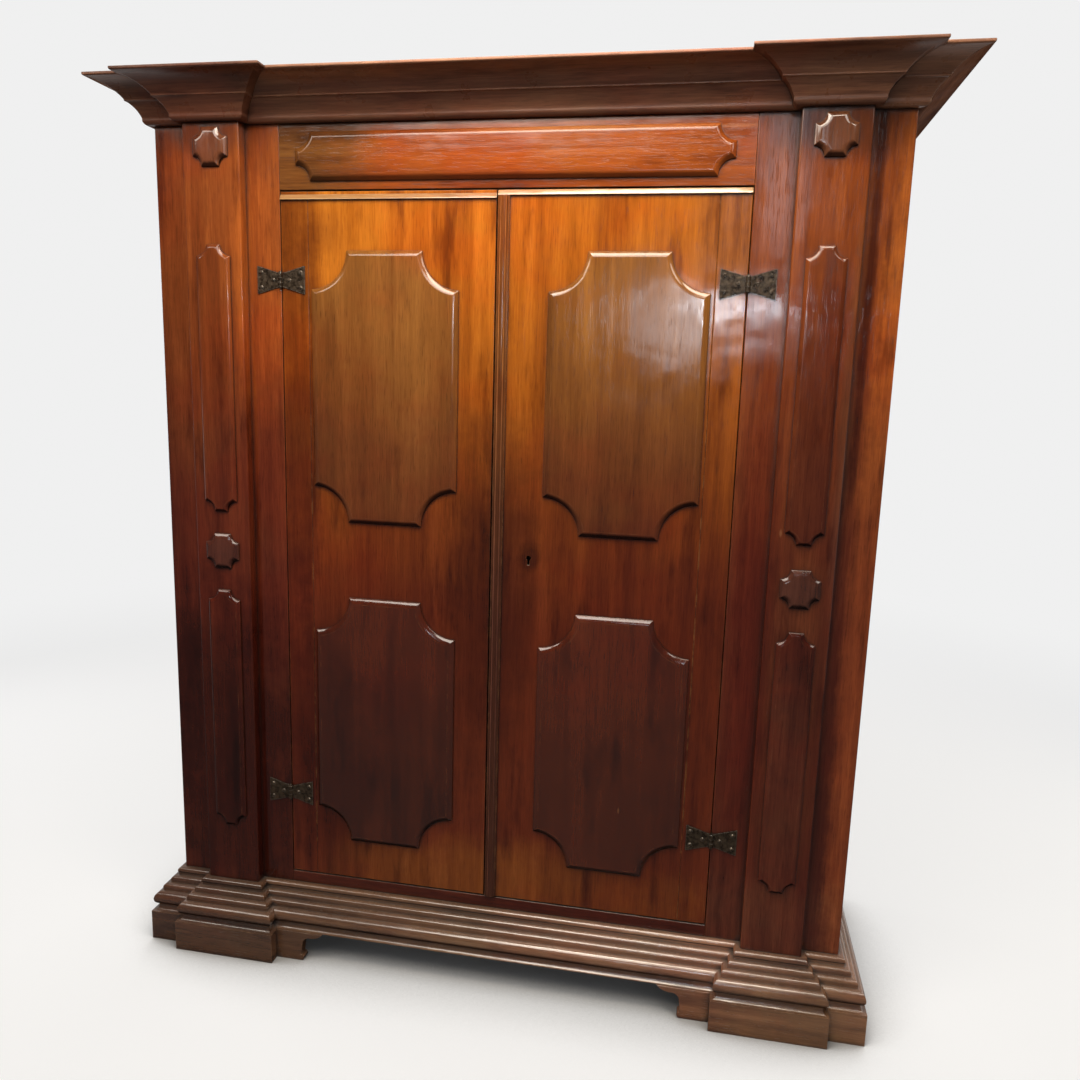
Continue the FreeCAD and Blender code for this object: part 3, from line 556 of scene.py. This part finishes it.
LOW_PANEL_STAINS = (
    StainOrLight(0.0, 0.40, 0.90, 0.50, 0.90, (0.66, 0.62, 0.44)),
    StainOrLight(-0.44, 0.55, 0.17, 0.46, 0.85, (0.60, 0.52, 0.55)),
)
FRIEZE_STAINS_SHADE_AND_HIGHLIGHT = (
    StainOrLight(-0.50, 2.00, 0.22, 0.30, 0.90, (0.42, 0.72, 1.25)),
    # Painted shade under the cornice at the top of the frieze rail
    StainOrLight(-0.40, 2.08, 0.35, 0.03, 0.80, (0.50, 0.45, 0.50)),
    # Painted highlight along the top slope of the frieze panel
    StainOrLight(0.20, 2.073, 0.42, 0.008, 0.85, (1.50, 2.50, 5.50)),
)
ASTRAGAL_WEAR_AND_HIGHLIGHTS = (
    # Two pale lines along the astragal's edges: partly wear, partly painted highlight
    StainOrLight(-0.0083, 1.10, 0.0017, 1.40, 0.90, (3.0, 3.6, 4.8)),
    StainOrLight(0.0038, 1.30, 0.0014, 1.10, 0.80, (2.6, 3.1, 4.0)),
)
BASE_STAINS_AND_HIGHLIGHT = (
    StainOrLight(-0.80, 0.10, 0.75, 0.40, 0.90, (0.62, 0.55, 0.53)),
    StainOrLight(0.74, 0.04, 0.30, 0.10, 0.85, (1.60, 1.55, 1.35)),
    # Painted highlight on the beads of the base's right half
    StainOrLight(0.50, 0.15, 0.42, 0.07, 0.80, (1.60, 1.75, 1.90)),
)
CORNICE_STAINS_AND_LIGHT = (
    StainOrLight(0.10, 2.190, 0.90, 0.007, 0.80, (2.60, 2.90, 3.20)),
    # Lighter right end of the cornice: painted light
    StainOrLight(0.75, 2.150, 0.35, 0.20, 0.70, (1.35, 1.35, 1.35)),
)


def walnut(kind, axis, label=None, **settings):
    return make_walnut(f"walnut_{label or kind}_{axis}", axis, WALNUT[kind], **settings)


door_wood = walnut("door", "z", stains=DOOR_STAINS_AND_REFLECTION)
panel_wood = {
    "upper": walnut("panel", "z", gloss=1.8, smudge=0.4),
    "lower": walnut("panel", "z", "low_panel", gloss=1.9, stains=LOW_PANEL_STAINS),
}
frame_wood = walnut("frame", "z", stains=FRAME_STAINS_LIGHT_AND_SHADE)
side_wood = walnut("frame", "z", "side", polish=0.24, shine=0.6)
pilaster_panel_wood = walnut("frame", "z", "pilaster_panel", stains=PILASTER_PANEL_STAINS)
rail_wood = walnut("frame", "x", "rail")
frieze_wood = walnut("frieze", "x", under_grime=0.70, stains=FRIEZE_STAINS_SHADE_AND_HIGHLIGHT)
astragal_wood = walnut("astragal", "z", stains=ASTRAGAL_WEAR_AND_HIGHLIGHTS)
bead_wood = walnut("bead", "x", gloss=2.2)
boss_wood = walnut("boss", "z", gloss=1.8)
cornice_wood = {
    "x": walnut("cornice", "x", polish=0.30, shine=0.7, wear=0.8, under_grime=0.2, stains=CORNICE_STAINS_AND_LIGHT),
    "y": walnut("cornice", "y", polish=0.60, shine=0.12, wear=0.8, under_grime=0.0, stains=CORNICE_STAINS_AND_LIGHT),
}
base_wood = {
    axis: walnut("base", axis, polish=0.16, gloss=2.2, dust=0.4, stains=BASE_STAINS_AND_HIGHLIGHT) for axis in "xy"
}
softwood = {axis: make_softwood(axis) for axis in "xyz"}
iron = make_iron()


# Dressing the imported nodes


def body_of(node):
    return frame["nodes"][node]["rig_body"]


def softened(source, bevel):
    """A bmesh copy of a node's mesh, welded, with its sharp edges rounded."""
    shape = bmesh.new()
    shape.from_mesh(source)
    bmesh.ops.remove_doubles(shape, verts=shape.verts, dist=WELD)
    bmesh.ops.dissolve_limit(shape, angle_limit=FLAT_ANGLE, verts=shape.verts, edges=shape.edges)
    sharp = [edge for edge in shape.edges if edge.is_manifold and edge.calc_face_angle(0.0) > BEVEL_ANGLE]
    bmesh.ops.bevel(shape, geom=sharp, offset=bevel, offset_type="OFFSET", segments=BEVEL_SEGMENTS,
                    profile=0.5, affect="EDGES", clamp_overlap=True)
    return shape


def dress(node, material, bevel):
    """A copy of a CAD node with softened edges, which stands for the node on the same body."""
    shape = softened(frame["nodes"][node].data, bevel)
    mesh = bpy.data.meshes.new(node + "_dressed")
    shape.to_mesh(mesh)
    shape.free()
    for polygon in mesh.polygons:
        polygon.use_smooth = True
    mesh.materials.append(material)
    piece = bpy.data.objects.new(node + "_dressed", mesh)
    bpy.context.scene.collection.objects.link(piece)
    normals = piece.modifiers.new("even_normals", "WEIGHTED_NORMAL")
    normals.weight = NORMAL_WEIGHT
    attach(piece, body_of(node))
    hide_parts(node)


def paint(node, material):
    """Gives a CAD node that keeps its own mesh a finished material."""
    mesh_object = frame["nodes"][node]
    mesh_object.material_slots[0].link = "OBJECT"
    mesh_object.material_slots[0].material = material


for side in ("left", "right"):
    dress(side + "_door_boards", door_wood, BOARD_EDGE)
    for level in ("upper", "lower"):
        dress(f"{side}_door_{level}_panel", panel_wood[level], PANEL_EDGE)
    dress(side + "_door_top_bead", bead_wood, BOARD_EDGE)
    dress("front_stile_" + side, frame_wood, MOULDING_EDGE)
    dress("pilaster_" + side, frame_wood, MOULDING_EDGE)
    dress("pilaster_panels_" + side, pilaster_panel_wood, MOULDING_EDGE)
    dress("side_boards_" + side, side_wood, BOARD_EDGE)
    for ring, wood in (("cornice", cornice_wood), ("base", base_wood)):
        dress(f"{ring}_block_{side}", wood["x"], MOULDING_EDGE)
        dress(f"{ring}_return_{side}", wood["x"], MOULDING_EDGE)
        dress(f"{ring}_side_{side}", wood["y"], MOULDING_EDGE)
    dress("base_bracket_" + side, base_wood["x"], MOULDING_EDGE)
    dress(side + "_door_battens", softwood["x"], BOARD_EDGE)
    dress(side + "_door_hinge_leaves", iron, IRON_EDGE)
    paint(side + "_door_hinge_nails", iron)
dress("pilaster_bosses", boss_wood, MOULDING_EDGE)
dress("frieze_rail", frieze_wood, MOULDING_EDGE)
dress("frieze_panel", frieze_wood, MOULDING_EDGE)
dress("bottom_rail", rail_wood, MOULDING_EDGE)
dress("cornice_front", cornice_wood["x"], MOULDING_EDGE)
dress("base_front_rail", base_wood["x"], MOULDING_EDGE)
dress("meeting_astragal", astragal_wood, STRIP_EDGE)
dress("back_boards", softwood["z"], BOARD_EDGE)
for node in ("floor_boards", "top_boards", "shelf", "base_back_rail", "cornice_back_rail", "hanging_rail"):
    dress(node, softwood["x"], BOARD_EDGE)
for node in ("shelf_cleats", "rail_sockets"):
    dress(node, softwood["y"], BOARD_EDGE)
dress("hinge_frame_leaves", iron, IRON_EDGE)
for node in ("hinge_frame_nails", "hinge_pins", "lock_case", "lock_bolt", "lock_keeper", "door_bolt",
             "bolt_guides"):
    paint(node, iron)


# Stage: floor, world, lights and camera

PALE = 0.87
FLOOR_HALF = 40.0
FLOOR_NEAR, FLOOR_FAR = 1.2, 5.0
FLOOR_LIT_SHARE = 0.34
FLOOR_GLOW_LOSS = 0.23
FLOOR_BOUNCE = (0.55, 0.55, 0.55)
SHADE_REACH = 0.36
SHADE_SAMPLES = 8
SHADE_DARKEST = 0.02
MIRROR_BACK_Y, MIRROR_FRONT_Y = 1.0, -0.3
MIRROR_DIMMING = 0.90
ROOM_COLOUR = (1.0, 0.97, 0.93)
ROOM_STRENGTH = 0.11
MIRROR_DIM, MIRROR_BRIGHT = 0.07, 0.45


def seen_mask(graph, path):
    return graph.most(path["Is Camera Ray"], path["Is Transmission Ray"])


def floor_material():
    """Evenly bright to the eye, with the object's own shade near it, and plain for the light."""
    material, graph = start_material("floor_pale")
    path = graph.node("ShaderNodeLightPath").outputs
    position = graph.node("ShaderNodeNewGeometry").outputs["Position"]
    far = graph.node("ShaderNodeVectorMath", {0: position}, operation="LENGTH").outputs["Value"]
    near = graph.remap(far, low=FLOOR_NEAR, high=FLOOR_FAR, to_low=1.0, to_high=0.0)
    inputs = {"Distance": SHADE_REACH}
    shade = graph.node("ShaderNodeAmbientOcclusion", inputs, samples=SHADE_SAMPLES).outputs["AO"]
    shade = graph.remap(shade, low=0.40, high=0.89, to_low=SHADE_DARKEST)
    glow = graph.times(graph.times_add(near, -FLOOR_GLOW_LOSS, PALE), shade)
    front = graph.remap(graph.parts(position)[1], low=MIRROR_BACK_Y, high=MIRROR_FRONT_Y,
                        to_high=MIRROR_DIMMING)
    kept = graph.less(1.0, graph.times(path["Is Glossy Ray"], front))
    lit_share = graph.times(graph.times(near, FLOOR_LIT_SHARE), kept)
    steady = graph.shader("ShaderNodeEmission", {"Color": graph.even(graph.times(glow, kept))})
    lit = graph.shader("ShaderNodeBsdfDiffuse", {"Color": graph.even(lit_share)})
    shown = graph.shader("ShaderNodeAddShader", {0: lit, 1: steady})
    plain = graph.shader("ShaderNodeBsdfDiffuse", {"Color": rgba(FLOOR_BOUNCE)})
    seen = graph.most(seen_mask(graph, path), path["Is Glossy Ray"])
    surface = graph.shader("ShaderNodeMixShader", {0: seen, 1: plain, 2: shown})
    graph.node("ShaderNodeOutputMaterial", {"Surface": surface})
    return material


def make_floor():
    mesh = bpy.data.meshes.new("floor")
    corners = [(x * FLOOR_HALF, y * FLOOR_HALF, 0) for x, y in ((-1, -1), (1, -1), (1, 1), (-1, 1))]
    mesh.from_pydata(corners, [], [(0, 1, 2, 3)])
    mesh.materials.append(floor_material())
    floor = bpy.data.objects.new("floor", mesh)
    bpy.context.scene.collection.objects.link(floor)


def make_world():
    """A pale studio: a dim room for the light, a pale backdrop to the eye, dimmer in front in reflections."""
    world = bpy.data.worlds.new("studio")
    bpy.context.scene.world = world
    world.use_nodes = True
    graph = Graph(world.node_tree)
    path = graph.node("ShaderNodeLightPath").outputs
    way = graph.parts(graph.coordinates("Generated"))
    mirror_level = graph.remap(way[1], low=-0.30, high=0.70, to_low=MIRROR_DIM, to_high=MIRROR_BRIGHT)
    room = graph.shader("ShaderNodeBackground", {"Color": rgba(ROOM_COLOUR), "Strength": ROOM_STRENGTH})
    mirrored = graph.shader("ShaderNodeBackground", {"Strength": mirror_level})
    backdrop = graph.shader("ShaderNodeBackground", {"Color": (PALE, PALE, PALE, 1.0), "Strength": 1.0})
    unseen = graph.shader("ShaderNodeMixShader", {0: path["Is Glossy Ray"], 1: room, 2: mirrored})
    surface = graph.shader("ShaderNodeMixShader", {0: seen_mask(graph, path), 1: unseen, 2: backdrop})
    graph.node("ShaderNodeOutputWorld", {"Surface": surface})


CEILING_GLOW = (1.0, 0.89, 0.74)
HIGH_GLOW = (1.0, 0.92, 0.82)
COOL = (0.80, 0.91, 1.0)
AMBER = (1.0, 0.90, 0.76)

# Name, place (x, y from the door plane, z), aim on the door plane (x, z), width and height, watts, colour
LAMPS = (
    ("ceiling", (0.24, -0.78, 2.92), (0.05, 1.80), (2.10, 0.70), 36.0, CEILING_GLOW),
    ("high_front", (-0.35, -1.90, 2.95), (0.00, 0.90), (2.30, 0.85), 25.0, HIGH_GLOW),
    ("high_left", (-2.10, -1.60, 2.95), (-0.30, 0.90), (0.90, 0.80), 8.0, HIGH_GLOW),
    ("high_right", (1.80, -1.60, 2.95), (0.40, 0.90), (0.90, 0.80), 8.0, HIGH_GLOW),
    ("front", (0.26, -3.40, 1.90), (0.30, 1.50), (0.62, 0.50), 2.0, COOL),
    ("pane_high", (0.80, -3.40, 2.72), (0.60, 1.98), (0.25, 0.90), 1.30, COOL),
    ("pane_left", (0.45, -3.40, 1.97), (0.47, 1.68), (0.09, 0.15), 0.80, COOL),
    ("pane_middle", (0.61, -3.40, 1.97), (0.53, 1.68), (0.09, 0.15), 1.20, COOL),
    ("pane_right", (0.75, -3.40, 1.96), (0.58, 1.68), (0.09, 0.15), 1.20, COOL),
    ("back", (0.00, 3.90, 2.50), (0.00, 1.10), (2.20, 1.40), 60.0, ROOM_COLOUR),
    ("left", (-3.20, 1.30, 1.50), (-0.90, 1.20), (1.20, 1.60), 22.0, ROOM_COLOUR),
    ("right", (3.20, 1.30, 1.30), (0.90, 1.40), (1.20, 1.60), 22.0, AMBER),
)


def add_lamp(name, place, aim, size, watts, colour):
    lamp = bpy.data.lights.new(name, "AREA")
    lamp.shape = "ELLIPSE"
    lamp.size, lamp.size_y = size
    lamp.energy = watts
    lamp.color = colour
    holder = bpy.data.objects.new(name, lamp)
    x, from_doors, z = place
    aim_x, aim_z = aim
    holder.location = (x, DOOR_PLANE_Y + from_doors, z)
    direction = Vector((aim_x, DOOR_PLANE_Y, aim_z)) - holder.location
    holder.rotation_euler = direction.to_track_quat("-Z", "Y").to_euler()
    bpy.context.scene.collection.objects.link(holder)


def add_camera():
    data = bpy.data.cameras.new("photo_camera")
    data.sensor_width = SENSOR_MM
    data.lens = CAMERA_LENS_MM
    camera = bpy.data.objects.new("photo_camera", data)
    camera.location = CAMERA_OFFSET + Vector((0.0, DOOR_PLANE_Y, 0.0))
    camera.rotation_euler = [math.radians(angle) for angle in CAMERA_ANGLES_DEG]
    bpy.context.scene.collection.objects.link(camera)
    bpy.context.scene.camera = camera


make_floor()
make_world()
for lamp_row in LAMPS:
    add_lamp(*lamp_row)
add_camera()
bpy.context.scene.view_settings.view_transform = "Standard"
